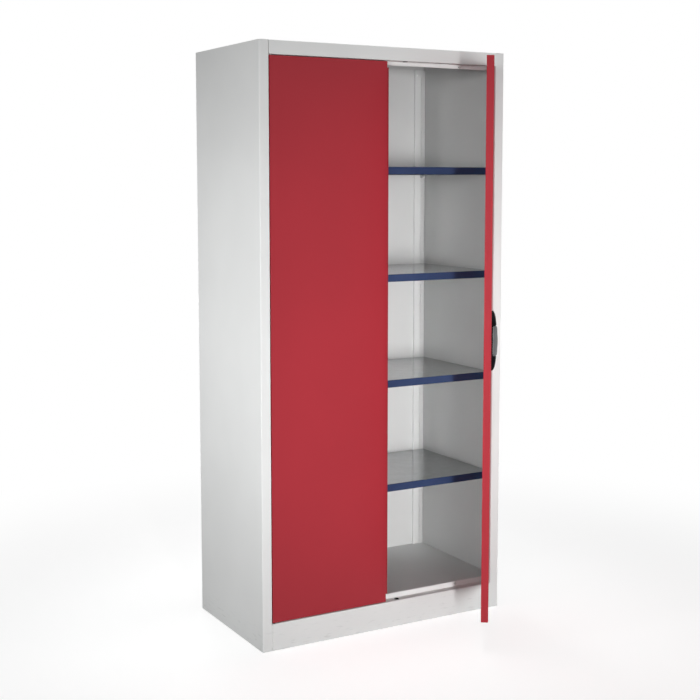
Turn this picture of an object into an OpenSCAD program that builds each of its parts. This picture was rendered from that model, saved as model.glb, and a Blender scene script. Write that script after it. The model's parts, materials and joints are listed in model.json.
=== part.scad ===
// Steel storage cupboard: folded sheet carcass, two doors on concealed pivots, four shelves
// on slotted uprights, and a turning handle that drives two lock rods by rack and pinion.
// Millimetres, X to the right, Y to the back, Z up. The front frame lies in the plane Y = 0.
// The origin is on the floor, at the middle of the plinth's front edge.

/* [Cabinet] */
// Overall width over the side panels
cabinet_w = 930; // [800:10:1200]
// Overall depth from the front frame to the back
cabinet_d = 500; // [400:10:600]
// Overall height from the floor to the top edge
cabinet_h = 1950; // [1900:10:2000]
// Thickness of the carcass sheet
sheet_t = 1; // [0.8:0.1:1.5]
// Outer radius of the folds in the carcass sheet
fold_r = 3; // [2.5:0.1:3.2]
// Clearance where one sheet slides inside another
sheet_gap = 0.2; // [0.1:0.05:0.4]
// Width of the folds along the rear edges of the side panels
rear_fold = 20; // [15:1:30]
// Height of the flanges folded down round the roof
roof_flange = 20; // [15:1:25]

/* [Front frame] */
// Width of the front face of each post
post_w = 34; // [32:1:45]
// Width of the lip that closes the back of each post
post_lip = 19; // [12:1:22]
// Height of the front face of the header rail
header_h = 44; // [40:1:60]
// Width of the flange on top of the header rail
header_flange = 20; // [15:1:30]
// Height of the stop lip below the header rail
stop_lip_h = 13; // [11:1:16]
// Depth of the door stops behind the front plane
stop_y = 29; // [28:0.5:32]
// Height of the plinth's front face
plinth_h = 90; // [70:5:120]
// Width of the plinth's foot flange on the floor
foot_w = 25; // [20:1:40]

/* [Base] */
// Rise of the sill from the plinth's ledge to the floor panel
sill_h = 18; // [16:1:25]
// Width of the flange that carries the front of the floor panel
sill_flange = 20; // [15:1:30]
// Height of the flanges folded down round the floor panel
floor_flange = 25; // [20:1:35]
// Height of the rear foot rail
rear_rail_h = 60; // [40:1:65]
// Height of the stiffener under the floor panel
floor_rib_h = 20; // [15:1:25]
// Width of the stiffener under the floor panel
floor_rib_w = 80; // [60:5:120]

/* [Uprights and shelves] */
// Width of the rear uprights
upright_w = 46; // [40:1:60]
// Depth of the uprights' channels
upright_d = 8; // [7.5:0.5:10]
// Distance of the slot columns from the outside of the cabinet
slot_inset = 21; // [18:0.5:23]
// Width of a slot
slot_w = 6; // [5:0.5:8]
// Height of a slot
slot_h = 12; // [11:0.5:14]
// Distance from one slot to the next
slot_pitch = 20; // [18:1:22]
// Height of the lowest slot's middle above the floor panel
slot_start = 9; // [8:0.5:12]
// Number of slot steps from the lowest slot up to the lowest shelf
first_shelf_steps = 17; // [12:1:18]
// Number of slot steps from one shelf to the next
shelf_steps = 18; // [15:1:18]
// Height of a shelf's folded edge
shelf_h = 25; // [20:1:35]
// Distance of the shelves' front edge behind the front plane
shelf_setback = 54; // [48:1:60]
// Distance of the shelves from the side walls
shelf_side_gap = 1.5; // [1:0.5:3]
// Distance of the shelves from the rear uprights
shelf_back_gap = 1.5; // [1:0.5:3]
// Width of the return under a shelf's edges
shelf_return = 16; // [12:1:25]
// Thickness of the blue edge strip
edge_t = 2; // [1.5:0.5:4]
// Width of the stiffener under a shelf
shelf_rib_w = 60; // [40:5:100]
// Depth of the stiffener under a shelf
shelf_rib_h = 16; // [10:1:17]
// Length of a shelf clip's ledge
clip_l = 34; // [30:1:45]
// Thickness of a clip's hook
clip_hook = 2.5; // [2:0.5:4]
// Clearance of a clip in its slot
clip_gap = 0.15; // [0.1:0.05:0.3]
// Radius of the wall fixing holes
fixing_r = 4.5; // [3:0.5:6]
// Distance of the fixing holes from the inner edge of the rear uprights
fixing_inset = 12; // [8:1:14]
// Distance of the fixing holes below the cabinet's top
fixing_drop = 41; // [35:1:60]

/* [Doors] */
// Thickness of a door
door_t = 24; // [22:0.5:25]
// Thickness of the door sheet
door_sheet = 1; // [0.8:0.1:1.2]
// Outer radius of the door's folds
door_fold_r = 2; // [1.5:0.1:2.2]
// Gap between a door and the frame round it
door_gap = 2.5; // [2:0.1:3.5]
// Gap between the two doors
meeting_gap = 3; // [2:0.5:5]
// Width of the return round the back of a door
door_return = 18; // [14:1:24]
// Angle at which the right door stands open
right_door_open = 54; // [0:1:110]
// Distance of the pivots from the hinge edge of the door
pivot_in_x = 6; // [6:0.1:8]
// Distance of the pivots behind the door's face
pivot_in_y = 6; // [5.5:0.1:6.2]
// Radius of a hinge pin
pin_r = 2.5; // [2:0.1:2.7]
// Running clearance on the radius of pins, rods and spindle
running_gap = 0.05; // [0.02:0.01:0.08]
// Height of a hinge block
hinge_block_h = 18; // [12:1:30]
// Thickness of a hinge plate
hinge_plate_t = 4; // [3:0.5:6]
// Width of the door stiffener
door_rib_w = 60; // [40:5:100]
// Depth of the door stiffener
door_rib_h = 18; // [10:1:19]
// Reach of the strike lip past the middle of the cabinet
strike_reach = 18; // [12:1:24]
// Width of the strike lip's seat on the left door
strike_seat = 16; // [12:1:17]
// Gap between the strike lip and the right door's back
strike_gap = 1; // [0.6:0.1:1.5]
// Distance of the magnet catches from the middle of the cabinet
magnet_x = 60; // [50:5:120]
// Length of a magnet catch
magnet_l = 40; // [30:1:60]
// Distance of the rubber buffers from the middle of the cabinet
buffer_x = 300; // [200:10:340]
// Radius of a rubber buffer
buffer_r = 4.5; // [3:0.5:5]
// Gap between the closed doors and their buffers and magnets
buffer_gap = 0.4; // [0.3:0.1:1]

/* [Handle and lock] */
// Height of the handle's middle above the floor
handle_z = 1005; // [900:5:1100]
// Distance of the handle's axis from the door's free edge
lock_inset = 61; // [55:1:80]
// Length of the handle base
base_l = 194; // [180:1:220]
// Width of the handle base
base_w = 44; // [38:1:60]
// Height of the handle base's domed ends
base_h = 17; // [14:0.5:19]
// Thickness of the handle base under the lever
base_floor = 5; // [4:0.5:7]
// Length of the lever
lever_l = 98; // [80:1:104]
// Width of the lever
lever_w = 24; // [20:0.5:30]
// Height of the lever above the door's face
lever_h = 20; // [18:0.5:26]
// Gap between the lever and its base
lever_gap = 0.5; // [0.4:0.1:1]
// Radius of the lever's boss in the base
boss_r = 8; // [7:0.5:9]
// Radius of the spindle
spindle_r = 5; // [4:0.5:6]
// Radius of the lock plug
plug_r = 6; // [5:0.5:7]
// Length of the lock plug in the lever
plug_l = 9; // [7:0.5:9.5]
// Radius of the screws that hold the handle base
screw_r = 2; // [1.5:0.25:3]
// Distance of the screws from the handle's middle
screw_z = 72; // [66:1:76]
// Tooth module of the pinion and the racks
tooth_module = 1; // [0.8:0.05:1.1]
// Number of teeth on the pinion, an even number
pinion_teeth = 18; // [18:2:20]
// Width of the pinion
pinion_w = 6; // [4:0.5:7]
// Play between the teeth along the pitch line
backlash = 0.15; // [0.1:0.01:0.3]
// Diameter of a lock rod
rod_d = 8; // [7:0.5:9]
// Distance of the rods behind the door's face
rod_y = 15; // [14:0.5:15.5]
// Length of rack beyond the mesh at each end
rack_spare = 12; // [10:1:16]
// Height of the lock case
case_h = 80; // [60:1:100]
// Thickness of the lock case sheet
case_sheet = 1.2; // [1:0.1:1.5]
// Height of a rod guide
guide_h = 12; // [8:1:20]
// Radial clearance of a rod in its keeper
keeper_gap = 1; // [0.6:0.1:1.5]
// Wall of a keeper bush
keeper_wall = 1.5; // [1:0.1:2]

/* [Hidden] */
$fn = 48;
bend_steps = 5;
inside = 1;
pressure_angle = 20;

half_w = cabinet_w / 2;
wall_x = half_w - sheet_t;
corner_reach = sqrt(pow(fold_r - sheet_t, 2) - pow(max(fold_r - 2 * sheet_t, 0), 2));
inner_x = half_w - fold_r + corner_reach - sheet_gap;
post_x = half_w - post_w;
between_x = post_x - sheet_gap;
post_d = stop_y + sheet_t;
back_y = cabinet_d - sheet_t;
back_face = back_y - sheet_t;
header_z = cabinet_h - header_h;
roof_top = cabinet_h - sheet_t;
roof_under = roof_top - roof_flange;
floor_z = plinth_h + sill_h;
floor_under = floor_z - sheet_t;
front_upright_y = post_d + upright_d;
rear_upright_y = back_face - upright_d;
rear_upright_x = inner_x - upright_w;
upright_top = roof_under - sheet_t;
slot_x = half_w - slot_inset;
slot_count = floor((upright_top - floor_z - slot_start - slot_h) / slot_pitch);
fixing_x = rear_upright_x + fixing_inset;
fixing_z = cabinet_h - fixing_drop;
shelf_w = 2 * (wall_x - shelf_side_gap);
shelf_back = rear_upright_y - shelf_back_gap;
shelf_l = shelf_back - shelf_setback;
shelf_mid = (shelf_back + shelf_setback) / 2;

door_x0 = meeting_gap / 2;
door_x1 = post_x - door_gap;
door_z0 = plinth_h + door_gap;
door_z1 = header_z - door_gap;
door_w = door_x1 - door_x0;
door_h = door_z1 - door_z0;
door_mid_x = (door_x0 + door_x1) / 2;
door_mid_z = (door_z0 + door_z1) / 2;
axis_x = door_x1 - pivot_in_x;
axis_y = pivot_in_y;
pin_hole_r = pin_r + sheet_gap;
buffer_y = door_t + buffer_gap;
buffer_l = stop_y - buffer_y;
buffer_z_low = (door_z0 + floor_z) / 2;
buffer_z_high = (door_z1 + header_z - stop_lip_h) / 2;

lock_x = door_x0 + lock_inset;
pitch_r = tooth_module * pinion_teeth / 2;
base_circle_r = pitch_r * cos(pressure_angle);
tip_r = pitch_r + tooth_module;
root_r = pitch_r - 1.25 * tooth_module;
tooth_pitch = PI * tooth_module;
rod_r = rod_d / 2;
rod_offset = pitch_r + rod_r - tooth_module / 2;
rod_travel = pitch_r * PI / 2;
rod_rest_gap = 0.5;
lower_rod_x = lock_x - rod_offset;
upper_rod_x = lock_x + rod_offset;
keeper_r = rod_r + keeper_gap;
keeper_l = rod_travel - door_gap;
keeper_collar_t = 1;
keeper_collar_w = 2;
guide_w = rod_d + 10;
guide_back = rod_y + rod_r + 2.5;
case_half_w = rod_offset + rod_r + 1;
case_depth = rod_y + rod_r + 1;
case_foot = 13;
journal_r = spindle_r - 1;
lever_bottom = base_floor + lever_gap;
lever_swing_r = norm([lever_l, lever_w]) / 2 + lever_gap;
spindle_top = lever_h - plug_l - 1.5;
screw_depth = 9;
screw_head_t = 2.2;

carcass_grey = [0.87, 0.88, 0.88];
door_red = [0.64, 0.16, 0.2];
shelf_grey = [0.6, 0.62, 0.64];
edge_blue = [0.13, 0.16, 0.4];
handle_black = [0.08, 0.08, 0.09];
lever_grey = [0.45, 0.47, 0.5];
steel = [0.7, 0.71, 0.73];
rubber = [0.1, 0.1, 0.1];

// Unit vector, the direction to its left, and the direction of one leg of a path
function unit(v) = v / norm(v);
function left_of(v) = [-v[1], v[0]];
function leg(path, i) = unit(path[i + 1] - path[i]);
function turned(v, angle) = [v[0] * cos(angle) - v[1] * sin(angle), v[0] * sin(angle) + v[1] * cos(angle)];

// Path moved to its left by a distance, with mitred corners
function mitre(path, i) =
    let (a = left_of(leg(path, max(i - 1, 0))), b = left_of(leg(path, min(i, len(path) - 2))))
    (a + b) / (1 + a * b);
function shifted(path, distance) =
    [for (i = [0 : len(path) - 1]) path[i] + distance * mitre(path, i)];

// Stations [point, direction] round one fold of a path, on an arc of radius r
function fold_stations(path, i, r) =
    let (
        a = leg(path, i - 1),
        b = leg(path, i),
        angle = atan2(a[0] * b[1] - a[1] * b[0], a * b),
        start = path[i] - a * r * tan(abs(angle) / 2),
        centre = start + sign(angle) * left_of(a) * r
    )
    [for (k = [0 : bend_steps])
        [centre + turned(start - centre, angle * k / bend_steps), turned(a, angle * k / bend_steps)]];

// Outline of a folded sheet: the path is its visible face, and the sheet lies to the left of it
function sheet_outline(path, t, r) =
    let (
        middle = shifted(path, t / 2),
        last = len(middle) - 1,
        folds = [for (i = [1 : 1 : last - 1]) each fold_stations(middle, i, r - t / 2)],
        stations = concat([[middle[0], leg(middle, 0)]], folds, [[middle[last], leg(middle, last - 1)]])
    )
    concat(
        [for (s = stations) s[0] + left_of(s[1]) * t / 2],
        [for (k = [len(stations) - 1 : -1 : 0]) stations[k][0] - left_of(stations[k][1]) * t / 2]
    );

module folded_sheet(path, t = sheet_t, r = fold_r) {
    polygon(sheet_outline(path, t, r));
}

// Extrusions of a profile in the YZ plane along X, and of one in the XZ plane along Y
module along_x(x0, x1) {
    translate([x0, 0, 0])
        rotate([90, 0, 90])
            linear_extrude(x1 - x0)
                children();
}

module along_y(y0, y1) {
    translate([0, y1, 0])
        rotate([90, 0, 0])
            linear_extrude(y1 - y0)
                children();
}

module along_z(z0, z1) {
    translate([0, 0, z0])
        linear_extrude(z1 - z0)
            children();
}

module both_sides() {
    children();
    mirror([1, 0, 0])
        children();
}

// Turns what is drawn on the closed right door to where the open door stands
module on_right_door() {
    translate([axis_x, axis_y, 0])
        rotate([0, 0, right_door_open])
            translate([-axis_x, -axis_y, 0])
                children();
}

module on_left_door() {
    mirror([1, 0, 0])
        children();
}

// Rectangle standing on its base with its two upper corners rounded
module arched(w, h, r) {
    right = [for (k = [0 : bend_steps]) [w / 2 - r, h - r] + r * turned([1, 0], 90 * k / bend_steps)];
    left = [for (k = [0 : bend_steps]) [r - w / 2, h - r] + r * turned([0, 1], 90 * k / bend_steps)];
    polygon(concat([[-w / 2, 0], [w / 2, 0]], right, left));
}

// Block with a flat face at height h whose four face edges are rounded
module pan_block(w, l, h, r) {
    intersection() {
        along_y(-l / 2, l / 2)
            arched(w, h, r);
        along_x(-w / 2, w / 2)
            arched(l, h, r);
    }
}

// Folded pan with its face at height h, and a return of the given width round its rim
module folded_pan(w, l, h, t, r, rim) {
    difference() {
        pan_block(w, l, h, r);
        translate([0, 0, t])
            pan_block(w - 2 * t, l - 2 * t, h - 2 * t, r - t);
        along_z(-inside, t + inside)
            square([w - 2 * rim, l - 2 * rim], center = true);
    }
}

module block(low, high) {
    translate(low)
        cube(high - low);
}

// Upright cylinder between two heights
module post_pin(x, y, z0, z1, r) {
    translate([x, y, z0])
        cylinder(r = r, h = z1 - z0);
}

// Cylinder along Y on the handle's axis, moved up by dz
module spindle_pin(y0, y1, r, dz = 0) {
    translate([lock_x, y1, handle_z + dz])
        rotate([90, 0, 0])
            cylinder(r = r, h = y1 - y0);
}

// Side panel: rear fold, side wall and post in one sheet, with the post's inside cut away under the roof
module side_panel_left() {
    path = [
        [rear_fold - half_w, cabinet_d], [-half_w, cabinet_d], [-half_w, 0],
        [-post_x, 0], [-post_x, post_d], [-post_x - post_lip, post_d]
    ];
    color(carcass_grey)
        difference() {
            along_z(0, cabinet_h)
                folded_sheet(path);
            block([fold_r - half_w, fold_r, roof_under - sheet_gap], [inside - post_x, post_d + inside, cabinet_h + inside]);
        }
}

module side_panel_right() {
    mirror([1, 0, 0])
        side_panel_left();
}

module fixing_holes() {
    both_sides()
        translate([fixing_x, cabinet_d, fixing_z])
            rotate([90, 0, 0])
                cylinder(r = fixing_r, h = cabinet_d / 2);
}

module back_panel() {
    color(carcass_grey)
        difference() {
            block([fold_r + sheet_gap - half_w, back_face, 0], [half_w - fold_r - sheet_gap, back_y, roof_top]);
            fixing_holes();
        }
}

// Roof panel: a pan turned down between the side walls, its front edge under the header's flange
module roof_panel() {
    color(carcass_grey)
        translate([0, (fold_r + back_face) / 2, roof_under])
            folded_pan(2 * inner_x, back_face - fold_r, roof_flange, sheet_t, fold_r, sheet_t);
}

// Header rail: top flange, front face, underside and stop lip, with the pivot and keeper holes
module header_rail() {
    path = [
        [header_flange, cabinet_h], [0, cabinet_h], [0, header_z],
        [stop_y, header_z], [stop_y, header_z - stop_lip_h]
    ];
    color(carcass_grey)
        difference() {
            along_x(-between_x, between_x)
                folded_sheet(path);
            both_sides()
                post_pin(axis_x, axis_y, header_z - inside, header_z + fold_r, pin_hole_r);
            post_pin(upper_rod_x, rod_y, header_z - inside, header_z + fold_r, keeper_r + keeper_wall + sheet_gap);
        }
}

// Plinth: sill flange, sill riser, ledge and front face, on a foot flange with a sharp front edge
module plinth() {
    path = [
        [stop_y + sill_flange, floor_under], [stop_y, floor_under], [stop_y, plinth_h],
        [0, plinth_h], [0, 0]
    ];
    color(carcass_grey)
        difference() {
            union() {
                along_x(-between_x, between_x)
                    folded_sheet(path);
                block([-between_x, 0, 0], [between_x, foot_w, sheet_t]);
            }
            both_sides()
                post_pin(axis_x, axis_y, plinth_h - fold_r, plinth_h + inside, pin_hole_r);
            post_pin(lower_rod_x, rod_y, plinth_h - fold_r, plinth_h + inside, keeper_r + keeper_wall + sheet_gap);
        }
}

// Floor panel: flanges down at the sides and the back, notched round the posts
module floor_panel() {
    path = [
        [inner_x, floor_z - floor_flange], [inner_x, floor_z],
        [-inner_x, floor_z], [-inner_x, floor_z - floor_flange]
    ];
    color(carcass_grey)
        difference() {
            union() {
                along_y(stop_y, back_face)
                    folded_sheet(path);
                block([fold_r - inner_x, back_face - sheet_t, floor_z - floor_flange],
                      [inner_x - fold_r, back_face, floor_under + sheet_t / 2]);
            }
            both_sides()
                block([between_x, 0, 0], [half_w, post_d + sheet_gap, floor_z + inside]);
        }
}

// Hat section under a sheet, seen along X: rim height, middle, width of its web and depth
function hat_path(middle, rim, w, h, foot) = [
    [middle + w / 2 + foot, rim], [middle + w / 2, rim], [middle + w / 2, rim - h],
    [middle - w / 2, rim - h], [middle - w / 2, rim], [middle - w / 2 - foot, rim]
];

module floor_stiffener() {
    color(carcass_grey)
        along_x(fold_r - inner_x, inner_x - fold_r)
            folded_sheet(hat_path(cabinet_d / 2, floor_under, floor_rib_w, floor_rib_h, sill_flange));
}

module rear_foot_rail() {
    color(carcass_grey)
        along_x(-inner_x, inner_x)
            folded_sheet([[back_face - foot_w, 0], [back_face, 0], [back_face, rear_rail_h]]);
}

function slot_z(k) = floor_z + slot_start + k * slot_pitch;

module slot_column(y0, y1) {
    for (k = [0 : slot_count])
        block([-slot_x - slot_w / 2, y0, slot_z(k) - slot_h / 2], [-slot_x + slot_w / 2, y1, slot_z(k) + slot_h / 2]);
}

module front_upright_left() {
    path = [
        [-post_x, post_d], [-post_x, front_upright_y],
        [-inner_x, front_upright_y], [-inner_x, post_d]
    ];
    color(carcass_grey)
        difference() {
            along_z(floor_z, upright_top)
                folded_sheet(path);
            slot_column(front_upright_y - sheet_t - inside, front_upright_y + inside);
        }
}

module front_upright_right() {
    mirror([1, 0, 0])
        front_upright_left();
}

module rear_upright_left() {
    path = [
        [-inner_x, back_face], [-inner_x, rear_upright_y],
        [-rear_upright_x, rear_upright_y], [-rear_upright_x, back_face]
    ];
    color(carcass_grey)
        difference() {
            along_z(floor_z, upright_top)
                folded_sheet(path);
            slot_column(rear_upright_y - inside, rear_upright_y + sheet_t + inside);
            fixing_holes();
        }
}

module rear_upright_right() {
    mirror([1, 0, 0])
        rear_upright_left();
}

// Height of a shelf's underside, which sits on the clips in its slot
function shelf_z(number) = slot_z(first_shelf_steps + (number - 1) * shelf_steps);

module shelf(number) {
    color(shelf_grey)
        translate([0, shelf_mid, shelf_z(number)])
            folded_pan(shelf_w, shelf_l, shelf_h, sheet_t, fold_r, shelf_return);
}

module shelf_edge(number) {
    color(edge_blue)
        translate([0, shelf_setback, shelf_z(number) + shelf_h / 2])
            rotate([90, 0, 0])
                pan_block(shelf_w, shelf_h, edge_t, edge_t / 2);
}

module shelf_stiffeners() {
    reach = shelf_w / 2 - fold_r;
    color(shelf_grey)
        for (number = [1 : 4])
            along_x(-reach, reach)
                folded_sheet(hat_path(shelf_mid, shelf_z(number) + shelf_h - sheet_t,
                                      shelf_rib_w, shelf_rib_h, shelf_return));
}

// Shelf clip seen from the side: hook behind the upright's face, tongue in the slot, ledge in front
module clip_profile() {
    low = clip_gap - slot_h / 2;
    hook_x = -sheet_t - clip_gap;
    polygon([
        [clip_l, 0], [hook_x - clip_hook, 0], [hook_x - clip_hook, 2 * low],
        [hook_x, 2 * low], [hook_x, low], [clip_gap, low], [clip_gap, 2 * low], [clip_l, low / 2]
    ]);
}

module clip_at(y, z, heading) {
    width = slot_w - 2 * clip_gap;
    translate([slot_x - heading * width / 2, y, z])
        rotate([90, 0, 90 * heading])
            linear_extrude(width)
                clip_profile();
}

module shelf_clips() {
    color(steel)
        both_sides()
            for (number = [1 : 4]) {
                clip_at(front_upright_y, shelf_z(number), 1);
                clip_at(rear_upright_y, shelf_z(number), -1);
            }
}

module hinge_plate(z) {
    reach = hinge_block_h;
    difference() {
        block([axis_x - reach, fold_r, z], [between_x, stop_y - fold_r, z + hinge_plate_t]);
        post_pin(axis_x, axis_y, z - inside, z + hinge_plate_t + inside, pin_r);
    }
}

module hinge_plates() {
    color(steel)
        both_sides() {
            hinge_plate(plinth_h - sheet_t - hinge_plate_t);
            hinge_plate(header_z + sheet_t);
        }
}

module hinge_pins() {
    color(steel)
        both_sides() {
            post_pin(axis_x, axis_y, plinth_h - sheet_t - hinge_plate_t, door_z0 + hinge_block_h, pin_r);
            post_pin(axis_x, axis_y, door_z1 - hinge_block_h, header_z + sheet_t + hinge_plate_t, pin_r);
        }
}

module thrust_washers() {
    color(rubber)
        both_sides()
            difference() {
                post_pin(axis_x, axis_y, plinth_h, door_z0 - sheet_gap, pivot_in_y - sheet_t);
                post_pin(axis_x, axis_y, plinth_h - inside, door_z0 + inside, pin_r + running_gap);
            }
}

// Bush that takes the tip of a lock rod, drawn with its collar on the plane Z = 0
module rod_keeper() {
    rotate_extrude()
        translate([keeper_r, 0])
            polygon([
                [0, keeper_collar_t], [keeper_wall + keeper_collar_w, keeper_collar_t],
                [keeper_wall + keeper_collar_w, 0], [keeper_wall, 0], [keeper_wall, -keeper_l], [0, -keeper_l]
            ]);
}

module rod_keepers() {
    color(handle_black) {
        translate([lower_rod_x, rod_y, plinth_h])
            rod_keeper();
        translate([upper_rod_x, rod_y, header_z])
            mirror([0, 0, 1])
                rod_keeper();
    }
}

module magnet_catches() {
    height = stop_lip_h - 2;
    color(handle_black)
        for (z = [buffer_z_low, buffer_z_high])
            block([-magnet_x - magnet_l, buffer_y, z - height / 2], [-magnet_x, stop_y, z + height / 2]);
}

module door_buffers() {
    color(rubber)
        both_sides()
            for (z = [buffer_z_low, buffer_z_high])
                translate([buffer_x, stop_y, z])
                    rotate([90, 0, 0])
                        cylinder(r1 = buffer_r, r2 = buffer_r * 0.8, h = buffer_l);
}

// Door pan, drawn as the closed right door, with holes for its two pivots
module door_pan() {
    difference() {
        translate([door_mid_x, door_t, door_mid_z])
            rotate([90, 0, 0])
                folded_pan(door_w, door_h, door_t, door_sheet, door_fold_r, door_return);
        for (z = [door_z0, door_z1])
            post_pin(axis_x, axis_y, z - 2 * door_sheet, z + 2 * door_sheet, pin_hole_r);
    }
}

module door_stiffener() {
    foot = (door_rib_w / 2 + door_return) / 3;
    x0 = door_mid_x - door_rib_w / 2;
    x1 = door_mid_x + door_rib_w / 2;
    top = door_sheet + door_rib_h;
    along_z(door_z0 + door_return, door_z1 - door_return)
        folded_sheet([
            [x0 - foot, door_sheet], [x0, door_sheet], [x0, top],
            [x1, top], [x1, door_sheet], [x1 + foot, door_sheet]
        ], door_sheet, door_fold_r);
}

module hinge_blocks() {
    x1 = door_x1 - door_sheet;
    x0 = x1 - hinge_block_h;
    difference() {
        for (z = [door_z0 + door_sheet, door_z1 - door_sheet - hinge_block_h])
            block([x0, door_fold_r, z], [x1, 2 * axis_y + door_fold_r, z + hinge_block_h]);
        post_pin(axis_x, axis_y, door_z0, door_z1, pin_r + running_gap);
    }
}

module left_door_pan() {
    color(door_red)
        on_left_door()
            door_pan();
}

module left_door_stiffener() {
    color(door_red)
        on_left_door()
            door_stiffener();
}

module left_hinge_blocks() {
    color(steel)
        on_left_door()
            hinge_blocks();
}

// Strike lip: strip on the back of the left door, set back where it passes behind the right door
module strike_lip() {
    seat_end = -door_x0 - door_sheet;
    path = [
        [seat_end - strike_seat, door_t], [seat_end, door_t],
        [door_x0, door_t + strike_gap], [strike_reach, door_t + strike_gap]
    ];
    color(door_red)
        along_z(door_z0 + door_return, door_z1 - door_return)
            folded_sheet(path);
}

module right_door_pan() {
    color(door_red)
        on_right_door()
            difference() {
                door_pan();
                post_pin(lower_rod_x, rod_y, door_z0 - inside, door_z0 + 2 * door_sheet, keeper_r);
                post_pin(upper_rod_x, rod_y, door_z1 - 2 * door_sheet, door_z1 + inside, keeper_r);
                spindle_pin(-inside, door_sheet + inside, spindle_r + keeper_gap);
                for (dz = [-screw_z, screw_z])
                    spindle_pin(-inside, door_sheet + inside, screw_r + sheet_gap, dz);
            }
}

module right_door_stiffener() {
    color(door_red)
        on_right_door()
            door_stiffener();
}

module right_hinge_blocks() {
    color(steel)
        on_right_door()
            hinge_blocks();
}

// Points of an oval with squared shoulders: a superellipse with the given power
function oval(half_x, half_y, power, steps) =
    [for (k = [0 : steps - 1])
        let (a = 360 * k / steps)
        [half_x * sign(cos(a)) * pow(abs(cos(a)), 2 / power), half_y * sign(sin(a)) * pow(abs(sin(a)), 2 / power)]];

// Bar with an oval outline and a domed back, standing on the door's face with its middle on the axis
module domed_bar(l, w, h, power) {
    translate([lock_x, 0, handle_z])
        intersection() {
            along_y(-h, 0)
                polygon(oval(w / 2, l / 2, power, 40));
            along_x(-w, w)
                polygon(oval(h, l / 2, power, 40));
        }
}

// Handle base: a domed plate that is hollowed to a disc where the lever turns
module handle_base() {
    color(handle_black)
        on_right_door()
            difference() {
                domed_bar(base_l, base_w, base_h, 2.6);
                spindle_pin(-base_h - inside, -base_floor, lever_swing_r);
                spindle_pin(-base_h, inside, boss_r + running_gap);
                for (dz = [-screw_z, screw_z])
                    spindle_pin(-screw_depth - sheet_gap, inside, screw_r + running_gap, dz);
            }
}

module handle_screws() {
    color(steel)
        on_right_door()
            for (dz = [-screw_z, screw_z]) {
                spindle_pin(-screw_depth, door_sheet, screw_r, dz);
                spindle_pin(door_sheet, door_sheet + screw_head_t, 1.8 * screw_r, dz);
            }
}

// Lever: domed grip with a boss that turns in the base, bored for the plug and the spindle
module handle_lever() {
    color(lever_grey)
        on_right_door()
            difference() {
                union() {
                    intersection() {
                        domed_bar(lever_l, lever_w, lever_h, 4);
                        spindle_pin(-lever_h - inside, -lever_bottom, lever_l);
                    }
                    spindle_pin(-lever_bottom - inside, -sheet_gap, boss_r);
                }
                spindle_pin(-lever_h - inside, plug_l - lever_h, plug_r + running_gap);
                spindle_pin(-spindle_top - sheet_gap, inside, spindle_r + running_gap);
            }
}

module lock_plug() {
    keyway = [1.4, 6, 1.2 * plug_r];
    color(steel)
        on_right_door()
            difference() {
                spindle_pin(-lever_h - sheet_gap, plug_l - lever_h - sheet_gap, plug_r);
                translate([lock_x - keyway[0] / 2, -lever_h - keyway[1] / 2, handle_z - keyway[2] / 2])
                    cube(keyway);
            }
}

// Involute of the base circle: how far the flank has turned at radius r, in degrees
function flank_turn(r) =
    let (a = acos(min(1, base_circle_r / r)))
    tan(a) * 180 / PI - a;

// Half the angle of a tooth at radius r, in degrees
function half_tooth(r) =
    (tooth_pitch / 2 - backlash) / 2 / pitch_r * 180 / PI + flank_turn(pitch_r) - flank_turn(max(r, base_circle_r));

function pinion_outline() =
    let (radii = [root_r, base_circle_r, pitch_r, (pitch_r + tip_r) / 2, tip_r])
    [for (k = [0 : pinion_teeth - 1])
        let (middle = 360 * k / pinion_teeth)
        each concat(
            [for (r = radii) turned([r, 0], middle - half_tooth(r))],
            [for (i = [len(radii) - 1 : -1 : 0]) turned([radii[i], 0], middle + half_tooth(radii[i]))]
        )];

// Spindle with the pinion on it: one end in the lever, the other in the lock case
module lock_pinion() {
    gear_y0 = rod_y - pinion_w / 2;
    gear_y1 = rod_y + pinion_w / 2;
    color(steel)
        on_right_door() {
            translate([lock_x, 0, handle_z])
                along_y(gear_y0, gear_y1)
                    polygon(pinion_outline());
            spindle_pin(-spindle_top, gear_y0, spindle_r);
            spindle_pin(gear_y1, case_depth + 2 * case_sheet, journal_r);
        }
}

// Lock case: hat section round the pinion and the racks, open at its top and bottom
module lock_case() {
    path = [
        [-case_half_w - case_foot, door_sheet], [-case_half_w, door_sheet], [-case_half_w, case_depth],
        [case_half_w, case_depth], [case_half_w, door_sheet], [case_half_w + case_foot, door_sheet]
    ];
    color(steel)
        on_right_door()
            difference() {
                translate([lock_x, 0, handle_z])
                    along_z(-case_h / 2, case_h / 2)
                        folded_sheet(path, case_sheet, door_fold_r);
                spindle_pin(rod_y, door_t, journal_r + running_gap);
            }
}

// Gap between two rack teeth, from the tips at x = -height to the root, centred on y = 0
module rack_gap() {
    half = tooth_pitch / 4 + backlash / 2;
    slope = tan(pressure_angle);
    out = -1.5 * tooth_module;
    root = 1.25 * tooth_module;
    polygon([
        [out, half - out * slope], [root, half - root * slope],
        [root, root * slope - half], [out, out * slope - half]
    ]);
}

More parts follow.
